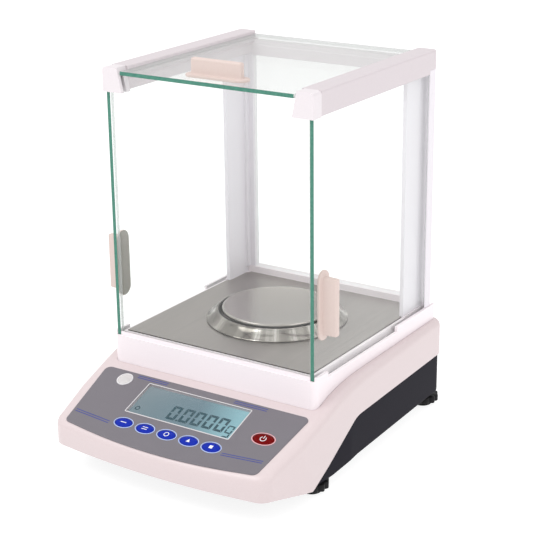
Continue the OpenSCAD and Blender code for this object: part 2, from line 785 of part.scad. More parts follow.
// Balance beam: cross shaft at the fulcrum, coil plate and sensor vane behind it
module lever_beam() {
    color([0.78, 0.8, 0.84]) difference() {
        union() {
            translate([-3.4, pan_y - 1, lever_z - 2]) cube([6.8, coil_y - pan_y - 8, 4]);
            translate([-7.9, fulcrum_y - 1.6, lever_z - 2]) cube([15.8, 3.2, 4]);
            translate([-9, coil_y - 12, lever_z - 2]) cube([18, 24, 1.6]);
            translate([-3, coil_y + 11.9, lever_z - 2]) cube([6, 11, 1]);
        }
        translate([0, coil_y, lever_z - 4]) cylinder(h = 8, r = 4);
    }
}

module force_coil() {
    color([0.75, 0.4, 0.2]) translate([0, coil_y, 0]) difference() {
        translate([0, 0, lever_z - 12.6]) cylinder(h = 10.6, r = 12.2);
        translate([0, 0, lever_z - 14]) cylinder(h = 14, r = 10.4);
    }
}

module magnet_pot() {
    color([0.5, 0.5, 0.53]) translate([0, coil_y, 0]) difference() {
        translate([0, 0, base_top_z]) cylinder(h = 14, r = 18);
        translate([0, 0, base_top_z + 3]) cylinder(h = 14, r = 14.2);
    }
}

module magnet_core() {
    color([0.35, 0.35, 0.38]) translate([0, coil_y, base_top_z + 3]) {
        cylinder(h = 7, r = 8);
        translate([0, 0, 6.9]) cylinder(h = 4, r = 8.8);
    }
}

// Forked light sensor that watches the lever's vane
module position_sensor() {
    color([0.12, 0.12, 0.14]) translate([0, coil_y + 19.2, base_top_z]) difference() {
        translate([-12, 0, 0]) cube([24, 5, 24]);
        translate([-6, -1, lever_z - 6 - base_top_z]) cube([12, 7, 30]);
    }
}

upper_housing();
lower_housing();
housing_screws();
keypad_overlay();
lcd_window();
lcd_module();
keypad_board();
key_1();
key_2();
key_3();
key_4();
key_5();
power_key();
level_cup();
level_lens();
level_bubble();
shield_tray();
floor_plate();
draft_ring();
pan();
pan_support();
shield_screws();
left_top_rail();
right_top_rail();
front_left_cap();
front_right_cap();
rear_top_beam();
rear_left_post();
rear_right_post();
left_guide_strip();
right_guide_strip();
rear_glass();
front_glass();
left_door_glass();
right_door_glass();
top_door_glass();
left_door_handle();
right_door_handle();
top_door_handle();
foot_pad_front_left();
foot_pad_front_right();
foot_pad_rear_left();
foot_pad_rear_right();
foot_wheel_front_left();
foot_wheel_front_right();
foot_wheel_rear_left();
foot_wheel_rear_right();
main_board();
power_transformer();
power_inlet();
serial_port();
cell_base();
hanger();
upper_guide();
lower_guide();
lever_beam();
force_coil();
magnet_pot();
magnet_core();
position_sensor();
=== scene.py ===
import bpy, bmesh, json, math
from mathutils import Matrix, Vector


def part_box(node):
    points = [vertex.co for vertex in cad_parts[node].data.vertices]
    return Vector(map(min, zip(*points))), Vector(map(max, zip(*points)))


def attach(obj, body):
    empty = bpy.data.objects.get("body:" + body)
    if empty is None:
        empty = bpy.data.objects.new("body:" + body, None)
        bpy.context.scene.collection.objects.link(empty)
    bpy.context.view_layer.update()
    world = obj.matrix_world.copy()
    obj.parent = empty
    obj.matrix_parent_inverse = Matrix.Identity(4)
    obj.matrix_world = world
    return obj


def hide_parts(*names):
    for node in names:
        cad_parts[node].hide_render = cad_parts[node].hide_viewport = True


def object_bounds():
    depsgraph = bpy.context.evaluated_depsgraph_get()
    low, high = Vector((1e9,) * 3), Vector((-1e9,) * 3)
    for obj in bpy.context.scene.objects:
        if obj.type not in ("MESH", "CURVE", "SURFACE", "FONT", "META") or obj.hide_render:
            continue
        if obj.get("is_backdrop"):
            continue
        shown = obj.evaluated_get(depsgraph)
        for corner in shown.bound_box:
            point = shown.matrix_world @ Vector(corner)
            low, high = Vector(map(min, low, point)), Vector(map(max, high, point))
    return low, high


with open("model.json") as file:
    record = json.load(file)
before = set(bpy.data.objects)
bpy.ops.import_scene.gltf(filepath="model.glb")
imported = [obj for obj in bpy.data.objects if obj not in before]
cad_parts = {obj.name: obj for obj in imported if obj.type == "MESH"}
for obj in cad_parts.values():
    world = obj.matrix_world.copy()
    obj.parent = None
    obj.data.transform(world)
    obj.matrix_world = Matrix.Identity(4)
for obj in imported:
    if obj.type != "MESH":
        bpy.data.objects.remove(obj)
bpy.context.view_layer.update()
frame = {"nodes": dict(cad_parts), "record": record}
scene = bpy.context.scene
MM = 0.001
NODES = frame["nodes"]
PAN_C = (0, 34.4)  # the axis of the pan, in mm, that the cell and the hook share


# ---------- small helpers ----------


def v(x, y, z):
    """A point given in millimetres, in metres."""
    return Vector((x * MM, y * MM, z * MM))


def node_mm(name):
    """Low and high corner of a CAD node's box, in mm."""
    lo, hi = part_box(name)
    return [c / MM for c in lo], [c / MM for c in hi]


def link(name, mesh, body, replaces=()):
    """Adds a piece to the scene, on its body, and hides the CAD nodes it replaces."""
    obj = bpy.data.objects.new(name, mesh)
    scene.collection.objects.link(obj)
    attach(obj, body)
    if replaces:
        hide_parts(*replaces)
    return obj


def mesh_of(name, verts, faces, mats, smooth=None):
    """A mesh whose faces all look outwards, shaded smooth up to an angle if one is given."""
    me = bpy.data.meshes.new(name)
    me.from_pydata([tuple(p) for p in verts], [], faces)
    me.validate()
    bm = bmesh.new()
    bm.from_mesh(me)
    bmesh.ops.recalc_face_normals(bm, faces=bm.faces)
    bm.to_mesh(me)
    bm.free()
    for m in mats:
        me.materials.append(m)
    if smooth is not None:
        shade(me, smooth)
    return me


def shade(me, degrees):
    """Smooth shading with edges sharper than the angle kept sharp."""
    bm = bmesh.new()
    bm.from_mesh(me)
    limit = math.radians(degrees)
    for e in bm.edges:
        e.smooth = len(e.link_faces) == 2 and e.calc_face_angle(0) < limit
    for f in bm.faces:
        f.smooth = True
    bm.to_mesh(me)
    bm.free()


def bevel(obj, width_mm, segments):
    """Rounds the edges of a CAD piece, its faces joined first."""
    w = obj.modifiers.new("weld", "WELD")
    w.merge_threshold = 1e-6
    b = obj.modifiers.new("bevel", "BEVEL")
    b.width = width_mm * MM
    b.segments = segments
    b.limit_method = "ANGLE"
    b.angle_limit = math.radians(40)


def bridge(a, b, n):
    """Quads between two loops of n vertices, which start at a and at b."""
    return [(a + i, a + (i + 1) % n, b + (i + 1) % n, b + i) for i in range(n)]


def tube(loops, n, start=0):
    """Quads that join loops of n vertices, one after the other."""
    return [q for j in range(loops - 1)
            for q in bridge(start + j * n, start + (j + 1) * n, n)]


def cap(start, n):
    """One face across a loop of n vertices."""
    return tuple(range(start, start + n))


# ---------- materials ----------


def new_mat(name, colour, rough, metal=0.0, **more):
    """A plain material; more sockets of its shader go by their names."""
    m = bpy.data.materials.new(name)
    m.use_nodes = True
    b = m.node_tree.nodes["Principled BSDF"]
    b.inputs["Base Color"].default_value = (*colour, 1)
    b.inputs["Roughness"].default_value = rough
    b.inputs["Metallic"].default_value = metal
    for k, val in more.items():
        b.inputs[k.replace("_", " ")].default_value = val
    return m


def tree(m):
    """The nodes, the links and the main shader of a material."""
    nt = m.node_tree
    return nt.nodes, nt.links, nt.nodes["Principled BSDF"]


def finish(name, colour, rough, scale=900, bump=0.05, light=None, metal=0.0, depth=0.0001,
           stretch=(1, 1, 1), **more):
    """A surface with fine bump and uneven gloss from one noise, which also runs its colour
    up to `light` where that is given."""
    m = new_mat(name, colour, rough[0], metal, **more)
    n, l, b = tree(m)
    tc = n.new("ShaderNodeTexCoord")
    mp = n.new("ShaderNodeMapping")
    mp.inputs["Scale"].default_value = stretch
    tx = n.new("ShaderNodeTexNoise")
    tx.inputs["Scale"].default_value = scale
    tx.inputs["Detail"].default_value = 4
    l.new(tc.outputs["Object"], mp.inputs["Vector"])
    l.new(mp.outputs["Vector"], tx.inputs["Vector"])
    bp = n.new("ShaderNodeBump")
    bp.inputs["Strength"].default_value = bump
    bp.inputs["Distance"].default_value = depth
    l.new(tx.outputs["Fac"], bp.inputs["Height"])
    l.new(bp.outputs["Normal"], b.inputs["Normal"])
    r = n.new("ShaderNodeMapRange")
    r.inputs["To Min"].default_value = rough[0]
    r.inputs["To Max"].default_value = rough[1]
    l.new(tx.outputs["Fac"], r.inputs["Value"])
    l.new(r.outputs["Result"], b.inputs["Roughness"])
    if light:
        c = n.new("ShaderNodeValToRGB")
        e = c.color_ramp.elements
        e[0].position, e[0].color = 0.3, (*colour, 1)
        e[1].position, e[1].color = 0.7, (*light, 1)
        l.new(tx.outputs["Fac"], c.inputs["Fac"])
        l.new(c.outputs["Color"], b.inputs["Base Color"])
    return m


def glass_mat(name, tint, gloss_rough=0.0, film=0.04, body_mix=0.0, body=None):
    """Thin clear pane: see-through with a mirror film that strengthens at grazing angles."""
    m = bpy.data.materials.new(name)
    m.use_nodes = True
    nt = m.node_tree
    n, l = nt.nodes, nt.links
    n.remove(n["Principled BSDF"])
    out = n["Material Output"]
    tr = n.new("ShaderNodeBsdfTransparent")
    tr.inputs["Color"].default_value = (*tint, 1)
    gl = n.new("ShaderNodeBsdfGlossy")
    gl.inputs["Color"].default_value = (1, 1, 1, 1)
    gl.inputs["Roughness"].default_value = gloss_rough
    lw = n.new("ShaderNodeLayerWeight")
    lw.inputs["Blend"].default_value = 0.5
    steep = n.new("ShaderNodeMath")
    steep.operation = "POWER"
    steep.inputs[1].default_value = 5
    amount = n.new("ShaderNodeMath")
    amount.operation = "MULTIPLY_ADD"
    amount.inputs[1].default_value = 1 - film
    amount.inputs[2].default_value = film
    mx = n.new("ShaderNodeMixShader")
    l.new(lw.outputs["Facing"], steep.inputs[0])
    l.new(steep.outputs["Value"], amount.inputs[0])
    l.new(amount.outputs["Value"], mx.inputs["Fac"])
    base = tr
    if body_mix:
        df = n.new("ShaderNodeBsdfDiffuse")
        df.inputs["Color"].default_value = (*body, 1)
        m2 = n.new("ShaderNodeMixShader")
        m2.inputs["Fac"].default_value = body_mix
        l.new(tr.outputs["BSDF"], m2.inputs[1])
        l.new(df.outputs["BSDF"], m2.inputs[2])
        base = m2
    l.new(base.outputs[0], mx.inputs[1])
    l.new(gl.outputs["BSDF"], mx.inputs[2])
    l.new(mx.outputs["Shader"], out.inputs["Surface"])
    return m


# white and grey paint, from the housing up to the shield
WHITE = finish("white_enamel", (0.655, 0.558, 0.565), (0.3, 0.42), bump=0.06,
               light=(0.675, 0.578, 0.585), Coat_Weight=0.2, Coat_Roughness=0.2)
SHIELD = finish("shield_white", (0.89, 0.82, 0.85), (0.3, 0.42), bump=0.06,
                light=(0.91, 0.84, 0.87), Coat_Weight=0.2, Coat_Roughness=0.2)
# the rails and the caps and beam use darker copies of the shield's white, as painted shade; the
# rails are darkest
RAIL_SHADED = finish("rail_white_painted_shade", (0.63, 0.57, 0.595), (0.32, 0.44), bump=0.06,
              light=(0.65, 0.59, 0.615), Coat_Weight=0.1, Coat_Roughness=0.2)
CAP_SHADED = finish("cap_white_painted_shade", (0.75, 0.7, 0.725), (0.32, 0.44), bump=0.06,
             light=(0.77, 0.72, 0.745), Coat_Weight=0.1, Coat_Roughness=0.2)
POST = finish("grey_enamel", (0.77, 0.735, 0.78), (0.36, 0.46), bump=0.06,
              light=(0.81, 0.775, 0.82))
SEAL = finish("seal_white", (0.86, 0.85, 0.86), (0.5, 0.7))
# plastics
NAVY = finish("charcoal_plastic", (0.0105, 0.0095, 0.016), (0.52, 0.66), 1400, 0.35,
              (0.0145, 0.0135, 0.02), depth=0.00015, Specular_IOR_Level=0.08)
PANEL = finish("panel_film", (0.162, 0.15, 0.17), (0.4, 0.52), 2200, 0.1,
               (0.178, 0.166, 0.186), Specular_IOR_Level=0.35)
BEIGE = finish("beige_moulding", (0.66, 0.54, 0.5), (0.38, 0.5), 1200, 0.08, (0.69, 0.57, 0.53))
# grey for the back faces of the handle plates, painted shade where they lie on the glass
HANDLE_BACK_SHADE = finish("handle_back_painted_shade", (0.37, 0.345, 0.31), (0.6, 0.8), 1200, 0.2)
BLUE = finish("key_blue", (0.004, 0.022, 0.36), (0.32, 0.42), 1500, Specular_IOR_Level=0.1)
RED = finish("key_red", (0.15, 0.0005, 0.001), (0.32, 0.42), 1500, Specular_IOR_Level=0.05)
BLACK = finish("wheel_black", (0.006, 0.006, 0.007), (0.45, 0.6), 1500, 0.2,
               Specular_IOR_Level=0.25)
RUBBER = finish("pad_rubber", (0.008, 0.008, 0.008), (0.7, 0.9), 1200, 0.3,
                Specular_IOR_Level=0.2)
BOARD = finish("circuit_board", (0.02, 0.16, 0.07), (0.35, 0.5), 700, 0.1)
CUP = finish("level_cup", (0.75, 0.74, 0.75), (0.3, 0.4))
# metals
STEEL = finish("brushed_floor", (0.33, 0.302, 0.287), (0.26, 0.44), 420, 0.12,
               (0.4, 0.366, 0.347), 1.0, 0.00005, (1, 0.03, 1))
PAN = finish("pan_steel", (0.425, 0.395, 0.37), (0.16, 0.26), 700, 0.05, (0.47, 0.435, 0.41),
             1.0, 0.00003)
SCREW = finish("screw_steel", (0.6, 0.6, 0.59), (0.25, 0.4), 800, 0.1, metal=1.0)
# near-black painted shade for the floor plate's upright edges and the ring's inner side
PAINTED_SHADE_DARK = finish("painted_shade_dark", (0.05, 0.045, 0.042), (0.45, 0.6), bump=0.1)
ALLOY = finish("machined_alloy", (0.68, 0.69, 0.7), (0.28, 0.42), bump=0.1, metal=1.0,
               stretch=(1, 0.1, 1))
IRON = finish("iron", (0.2, 0.19, 0.19), (0.5, 0.65), 600, 0.3, metal=0.7)
COPPER = finish("copper_winding", (0.6, 0.24, 0.1), (0.3, 0.45), bump=0.2, metal=0.9)
BRONZE = finish("spring_bronze", (0.6, 0.46, 0.24), (0.25, 0.38), bump=0.1, metal=1.0)
NICKEL = finish("nickel", (0.65, 0.64, 0.62), (0.2, 0.3), metal=1.0)
# printing inks
INK_BLUE = finish("ink_blue", (0.035, 0.05, 0.25), (0.4, 0.5), 1500)
HALO_BLUE = finish("halo_blue", (0.42, 0.52, 0.85), (0.38, 0.48), 1500)
HALO_RED = finish("halo_red", (0.8, 0.42, 0.45), (0.38, 0.48), 1500)
INK_WHITE = finish("ink_white", (0.8, 0.8, 0.84), (0.38, 0.48), 1500)
FRAME_INK = finish("frame_ink", (0.66, 0.64, 0.65), (0.38, 0.48), 1500)
DIGIT = finish("segment_ink", (0.012, 0.06, 0.082), (0.45, 0.55), 1500)
# clear pieces
GLASS = glass_mat("pane_glass", (0.988, 0.996, 0.992), film=0.035)
LENS = glass_mat("level_lens", (0.97, 0.97, 0.97), body_mix=0.6, body=(0.9, 0.87, 0.87))
WINDOW = glass_mat("display_window", (0.985, 0.99, 0.99), gloss_rough=0.3, film=0.005)
FLUID = glass_mat("level_fluid", (0.9, 0.92, 0.85), body_mix=0.4, body=(0.8, 0.82, 0.74))
EDGE = finish("glass_edge", (0.03, 0.165, 0.118), (0.16, 0.3), 700,
              light=(0.06, 0.245, 0.175), Specular_IOR_Level=0.5)
EDGE_PALE = glass_mat("glass_edge_pale", (0.9, 0.93, 0.92), body_mix=0.6,
                      body=(0.6, 0.62, 0.61))


def painted_reflection_metal(name, dark, mid, light, rough):
    """Polished metal turned on a lathe: its colour runs from dark to light in soft wedges
    about the centre, as painted reflections.
    """
    m = finish(name, mid, rough, 500, 0.03, metal=1.0, depth=0.00003)
    n, l, b = tree(m)
    tc = n.new("ShaderNodeTexCoord")
    mp = n.new("ShaderNodeMapping")
    mp.inputs["Location"].default_value = (-PAN_C[0] * MM, -PAN_C[1] * MM, 0)
    mp.inputs["Scale"].default_value = (1, 1, 0)
    unit = n.new("ShaderNodeVectorMath")
    unit.operation = "NORMALIZE"
    tx = n.new("ShaderNodeTexNoise")
    tx.inputs["Scale"].default_value = 2.6
    tx.inputs["Detail"].default_value = 5
    tx.inputs["Roughness"].default_value = 0.62
    c = n.new("ShaderNodeValToRGB")
    e = c.color_ramp.elements
    e[0].position, e[0].color = 0.34, (*dark, 1)
    e[1].position, e[1].color = 0.68, (*light, 1)
    e.new(0.5).color = (*mid, 1)
    l.new(tc.outputs["Object"], mp.inputs["Vector"])
    l.new(mp.outputs["Vector"], unit.inputs[0])
    l.new(unit.outputs["Vector"], tx.inputs["Vector"])
    l.new(tx.outputs["Fac"], c.inputs["Fac"])
    l.new(c.outputs["Color"], b.inputs["Base Color"])
    return m


# steel of the ring, with painted reflections in its colour
POLISH_PAINTED_REFLECTION = painted_reflection_metal("polished_steel_painted_reflection", (0.09, 0.082, 0.07), (0.3, 0.275, 0.25), (0.8, 0.77, 0.73),
                (0.1, 0.2))


def display_painted_reflection_mat():
    """Display glass whose colour is all glow: dull teal on the left that turns to bright cyan
    on the right, a painted reflection.
    """
    m = new_mat("display_painted_reflection", (0.01, 0.014, 0.015), 0.9, Specular_IOR_Level=0.0)
    n, l, b = tree(m)
    tc = n.new("ShaderNodeTexCoord")
    sx = n.new("ShaderNodeSeparateXYZ")
    l.new(tc.outputs["Generated"], sx.inputs["Vector"])
    tx = n.new("ShaderNodeTexNoise")
    tx.inputs["Scale"].default_value = 2.5
    mx = n.new("ShaderNodeMath")
    mx.operation = "MULTIPLY_ADD"
    mx.inputs[1].default_value = 0.12
    l.new(tc.outputs["Generated"], tx.inputs["Vector"])
    l.new(tx.outputs["Fac"], mx.inputs[0])
    l.new(sx.outputs["X"], mx.inputs[2])
    c = n.new("ShaderNodeValToRGB")
    e = c.color_ramp.elements
    e[0].position, e[0].color = 0.1, (0.2, 0.262, 0.295, 1)
    e[1].position, e[1].color = 1.0, (0.29, 0.5, 0.56, 1)
    e.new(0.62).color = (0.175, 0.255, 0.3, 1)
    l.new(mx.outputs["Value"], c.inputs["Fac"])
    l.new(c.outputs["Color"], b.inputs["Emission Color"])
    b.inputs["Emission Strength"].default_value = 1.0
    return m


LCD = display_painted_reflection_mat()

CAD_FINISH = {
    "white_plastic": WHITE, "dark_plastic": NAVY, "post_grey": POST, "panel_grey": PANEL,
    "screw_steel": SCREW, "window": WINDOW, "display": LCD, "board_green": BOARD,
    "key_blue": BLUE, "key_red": RED, "cup_white": CUP, "level_fluid": FLUID,
    "floor_steel": STEEL, "pan_steel": PAN, "cell_aluminium": ALLOY, "shield_glass": GLASS,
    "handle_beige": BEIGE, "pad_rubber": RUBBER, "wheel_black": BLACK,
    "transformer_iron": IRON, "inlet_black": BLACK, "port_metal": NICKEL,
    "guide_bronze": BRONZE, "coil_copper": COPPER, "magnet_iron": IRON}
SLOT_OF = {s["node"]: s["material_slot"] for s in frame["record"]["subparts"]}
for name, obj in NODES.items():
    obj.data.materials.clear()
    obj.data.materials.append(CAD_FINISH[SLOT_OF[name]])
# the tray takes the shield's white; rails, caps and beam take its darker copies, painted shade
for name, mat in {"level_lens": LENS, "shield_tray": SHIELD, "left_top_rail": RAIL_SHADED,
                  "right_top_rail": RAIL_SHADED, "front_left_cap": CAP_SHADED, "front_right_cap": CAP_SHADED,
                  "rear_top_beam": CAP_SHADED}.items():
    NODES[name].data.materials[0] = mat
# the upright edges of the floor plate are painted near-black, as painted shade along its step
NODES["floor_plate"].data.materials.append(PAINTED_SHADE_DARK)
for face in NODES["floor_plate"].data.polygons:
    face.material_index = 1 if abs(face.normal.z) < 0.5 else 0

# ---------- the plan and side lines of the housing, in mm ----------

shell_lo, shell_hi = node_mm("upper_housing")
FRONT_Y, REAR_Y = shell_lo[1], shell_hi[1]
HALF_W = 106.0
TILT = math.radians(18.7)
PANEL_Y, PANEL_Z = -68.3, 63.2  # upper end of the sloping panel
SEAM_Z = 47.4  # joint of the two housings along the side
SKIRT_Z = 21.8  # lower edge of the white front
SOLE_Y, SOLE_Z = -79.5, 10.4  # where the white side comes lowest
KNEE_Y = -17.4  # where its rising edge would meet the seam
SLOPE = math.atan((SEAM_Z - SOLE_Z) / (KNEE_Y - SOLE_Y))
WALL = 2.5
KNEE_R = 26.0
KNEE_REACH = KNEE_R * math.tan(SLOPE / 2)
BEND_Y, BEND_SPAN = -46, 5  # start and softness of the bend from panel to shoulder


def panel_z(y):
    """Height of the sloping panel at y."""
    return PANEL_Z + (y - PANEL_Y) * math.tan(TILT)


def arc(cx, cy, r, a0, a1, n):
    """Points in n steps along an arc between two angles in degrees."""
    return [(cx + r * math.cos(math.radians(a0 + (a1 - a0) * i / n)),
             cy + r * math.sin(math.radians(a0 + (a1 - a0) * i / n))) for i in range(n + 1)]


def lerp_line(pts, y):
    """Height at y of a line through points sorted by y."""
    if y <= pts[0][0]:
        a, b = pts[0], pts[1]
    elif y >= pts[-1][0]:
        a, b = pts[-2], pts[-1]
    else:
        a, b = next((p, q) for p, q in zip(pts, pts[1:]) if p[0] <= y <= q[0])
    t = (y - a[0]) / (b[0] - a[0])
    return a[1] + t * (b[1] - a[1])


TOP_KNOTS = [(y, panel_z(y)) for y in (BEND_Y, BEND_Y + 4)]
TOP_KNOTS += [(-30, 74.6), (-16, 76.4), (0, 77.2), (REAR_Y, 78.4)]


def top_line(y):
    """Panel slope in front, then a soft bend up to the shoulder."""
    if y < BEND_Y:
        return panel_z(y)
    if y <= BEND_Y + BEND_SPAN:
        return lerp_line(TOP_KNOTS, y)
    return sum(lerp_line(TOP_KNOTS, y + k) for k in (-BEND_SPAN, 0, BEND_SPAN)) / 3


KNEE = sorted([(KNEE_Y + KNEE_REACH + x, z) for x, z in
               arc(0, SEAM_Z - KNEE_R, KNEE_R, 90, 90 + math.degrees(SLOPE), 14)])
SEAM = [(SOLE_Y, SOLE_Z)] + KNEE + [(REAR_Y + 5, SEAM_Z)]
SKIRT = [(FRONT_Y - 1, SKIRT_Z), (FRONT_Y + 14.5, SKIRT_Z), (SOLE_Y, SOLE_Z)]


def white_bottom(y):
    """Lower edge of the white housing seen from the side."""
    return lerp_line(SKIRT if y < SOLE_Y else SEAM, y)


DARK_UNDER = [(FRONT_Y, SKIRT_Z + 1.1), (FRONT_Y + 14.5, SKIRT_Z + 1.1), (-79, 11.2), (-76, 9.6),
              (-48, 9.6), (-14, 13), (REAR_Y, 13)]
DARK_UPPER = [(FRONT_Y, 31), (-100, 21.1), (-61.5, 21.1)] + KNEE + [(REAR_Y + 5, SEAM_Z)]


def dark_bottom(y):
    """Underside of the dark housing."""
    return lerp_line(DARK_UNDER, y)


def dark_top(y):
    """Upper edge of the dark housing, under the seam."""
    return lerp_line(DARK_UPPER, y)


def resample(pts, step):
    """Even points along an open line, its own points kept."""
    out = []
    for a, b in zip(pts, pts[1:]):
        n = max(1, round(math.dist(a, b) / step))
        out += [(a[0] + (b[0] - a[0]) * i / n, a[1] + (b[1] - a[1]) * i / n) for i in range(n)]
    return out + [pts[-1]]


def bow_y(x):
    """The front line in plan, which falls back a little towards the sides."""
    return FRONT_Y + 8 * (x / 100) ** 2


FRONT_X = HALF_W - 18  # centres of the corner arcs of both plans
REAR_X = HALF_W - 14.6
REAR_R = 10


def half_plan(back, bow_x, front_r, front_steps, side, rear_r):
    """Right half of a plan: bow, front corner, points of the side, rear corner."""
    bow = [bow_x * i / 22 for i in range(22)]
    return ([(x, bow_y(x) + back) for x in bow]
            + arc(FRONT_X, bow_y(FRONT_X) + 12, front_r, -80, -12, front_steps)
            + [(HALF_W - inward, y) for inward, y in side]
            + arc(REAR_X, REAR_Y - REAR_R, rear_r, 0, 90, 10)
            + [(0, REAR_Y - REAR_R + rear_r)])


WHITE_HALF = half_plan(0, FRONT_X, 12, 10, [(5.4, FRONT_Y + 23), (1.6, FRONT_Y + 50),
                                            (0.2, FRONT_Y + 82), (0, -24)], REAR_R)
DARK_HALF = half_plan(3, FRONT_X - 1, 9, 8, [(8.4, FRONT_Y + 23), (4.6, FRONT_Y + 50),
                                             (3.4, -61.5), (1.4, -24)], REAR_R - 1.4)


def closed(half):
    """The whole outline from its right half, counter-clockwise from the front middle."""
    right = resample(half, 3.0)
    return right + [(-x, y) for x, y in reversed(right[1:-1])]


def inset(outline, d):
    """Moves an outline in by d along its own normals."""
    n, out = len(outline), []
    for i, p in enumerate(outline):
        a, b = outline[i - 1], outline[(i + 1) % n]
        tx, ty = b[0] - a[0], b[1] - a[1]
        k = math.hypot(tx, ty)
        out.append((p[0] - ty / k * d, p[1] + tx / k * d))
    return out


def ring_solid(name, outline, rings, mat):
    """A closed solid from rings (inset, height function); both ends are closed across."""
    n = len(outline)
    verts = [v(x, y, zf(y)) for d, zf in rings for x, y in inset(outline, d)]
    faces = tube(len(rings), n)
    for base in (0, (len(rings) - 1) * n):
        for i in range(n // 2):
            q = [base + i, base + i + 1, base + (n - i - 1) % n, base + (n - i) % n]
            q = list(dict.fromkeys(q))
            if len(q) > 2:
                faces.append(tuple(q))
    return mesh_of(name, verts, faces, [mat], 28)


def round_down(r, zf, steps):
    """Ring steps that round an outer top edge of radius r."""
    out = []
    for i in range(steps + 1):
        a = math.pi / 2 * i / steps
        out.append((r * (1 - math.sin(a)), lambda y, a=a: zf(y) - r * (1 - math.cos(a))))
    return out


def round_in(r, zf, steps):
    """Ring steps that round an outer bottom edge of radius r."""
    out = []
    for i in range(steps + 1):
        a = math.pi / 2 * i / steps
        out.append((r * (1 - math.cos(a)), lambda y, a=a: zf(y) + r * (1 - math.sin(a))))
    return out


def cut(obj, cutters):
    """Cuts closed meshes out of obj and removes them."""
    bpy.context.view_layer.update()
    for c in cutters:
        m = obj.modifiers.new("cut", "BOOLEAN")
        m.operation = "DIFFERENCE"
        m.solver = "EXACT"
        m.object = c
    dg = bpy.context.evaluated_depsgraph_get()
    me = bpy.data.meshes.new_from_object(obj.evaluated_get(dg))
    obj.modifiers.clear()
    obj.data = me
    for c in cutters:
        bpy.data.objects.remove(c)


def cutter(name, verts, faces):
    """A closed mesh in the scene, for cut() to use up."""
    me = mesh_of(name, verts, faces, [])
    o = bpy.data.objects.new(name, me)
    scene.collection.objects.link(o)
    return o


def prism(pts, z0, z1, place=None):
    """Vertices and faces of a straight prism over a plan outline, in mm."""
    n = len(pts)
    raw = [(x, y, z0) for x, y in pts] + [(x, y, z1) for x, y in pts]
    verts = [place(*p) if place else v(*p) for p in raw]
    return verts, [cap(0, n), cap(n, n)] + bridge(0, n, n)


def rect(x0, y0, x1, y1, r=0):
    """A rectangle, its corners rounded if a radius is given."""
    if not r:
        return [(x0, y0), (x1, y0), (x1, y1), (x0, y1)]
    return (arc(x0 + r, y0 + r, r, 180, 270, 5) + arc(x1 - r, y0 + r, r, 270, 360, 5)
            + arc(x1 - r, y1 - r, r, 0, 90, 5) + arc(x0 + r, y1 - r, r, 90, 180, 5))


def block(a, b, r=0):
    """A rectangle about the origin from its half sizes."""
    return rect(-a, -b, a, b, r)


def oval(a, b, n=48):
    """An ellipse about the origin from its half axes."""
    return [(a * math.cos(2 * math.pi * i / n), b * math.sin(2 * math.pi * i / n))
            for i in range(n)]


def shifted(pts, dx, dy):
    return [(x + dx, y + dy) for x, y in pts]


def on_panel(x, y):
    """A map to metres from a frame on the panel: u across, w up the slope, h out of it."""
    base = Vector((x, y, panel_z(y)))
    rot = Matrix.Rotation(TILT, 3, "X")
    return lambda u, w, h: (base + rot @ Vector((u, w, h))) * MM


LCD_Y = -91.3
LCD_A, LCD_B = 47.6, 16.3  # half sizes of the display window
KEY_Y, KEY_PITCH = -118.6, 20.4
KEY_XS = [i * KEY_PITCH for i in range(-2, 3)]
KEY_A, KEY_B = 7.8, 4.7
POWER = (73.7, -98.4)
POWER_A, POWER_B = 9.0, 5.4
LEVEL = (-71.4, -77.5)
LEVEL_R = 6.8


def panel_cutters(lcd_gap, key_gap, h0, h1):
    """Cutters through the sloping panel for the display, the keys and the level."""
    holes = [("c_lcd", block(LCD_A + lcd_gap, LCD_B + lcd_gap), (0, LCD_Y))]
    holes += [("c_key", oval(KEY_A + key_gap, KEY_B + key_gap), (x, KEY_Y)) for x in KEY_XS]
    holes += [("c_power", oval(POWER_A + key_gap, POWER_B + key_gap), POWER),
              ("c_level", oval(LEVEL_R + 0.1, LEVEL_R + 0.1), LEVEL)]
    return [cutter(name, *prism(pts, h0, h1, on_panel(*where))) for name, pts, where in holes]


# ---------- white housing ----------

EDGE_R = 5.5
rings = round_down(EDGE_R, top_line, 8)
rings += [(0, lambda y: max(top_line(y) - EDGE_R - 1, white_bottom(y) + 2))]
rings += round_in(1.0, white_bottom, 3)
rings += [(WALL, lambda y: white_bottom(y) + 0.2),
          (WALL, lambda y: top_line(y) - WALL - 1), (WALL + 1, lambda y: top_line(y) - WALL)]
shell = link("housing_shell", ring_solid("housing_shell", closed(WHITE_HALF), rings, WHITE),
             "base", ["upper_housing"])
tray_lo, tray_hi = node_mm("shield_tray")
TRAY_GAP = 0.3
DECK_Z = 64  # the tray stands on it
hole = rect(tray_lo[0] - TRAY_GAP, tray_lo[1] - TRAY_GAP, tray_hi[0] + TRAY_GAP,
            tray_hi[1] + TRAY_GAP, 5 + TRAY_GAP)
cut(shell, [cutter("c_tray", *prism(hole, DECK_Z, 140))] + panel_cutters(0.4, 0.35, -20, 30))
shade(shell.data, 28)

# deck under the tray, left as a plate with a hole for the spindle
deck_pts = rect(-97.5, -62, 97.5, 132.5, 3)
deck_mesh = mesh_of("housing_deck", *prism(deck_pts, DECK_Z - WALL, DECK_Z), [WHITE], 30)
deck = link("housing_deck", deck_mesh, "base", ["upper_housing"])
cut(deck, [cutter("c_spindle", *prism(shifted(oval(16, 16), *PAN_C), 50, 70))])
shade(deck.data, 30)

# ---------- dark housing ----------

FLOOR_Z = 15.5  # the inner floor of the dark housing is nowhere lower


def dark_floor(y):
    """Inner floor of the dark housing."""
    return max(dark_bottom(y) + WALL, FLOOR_Z)


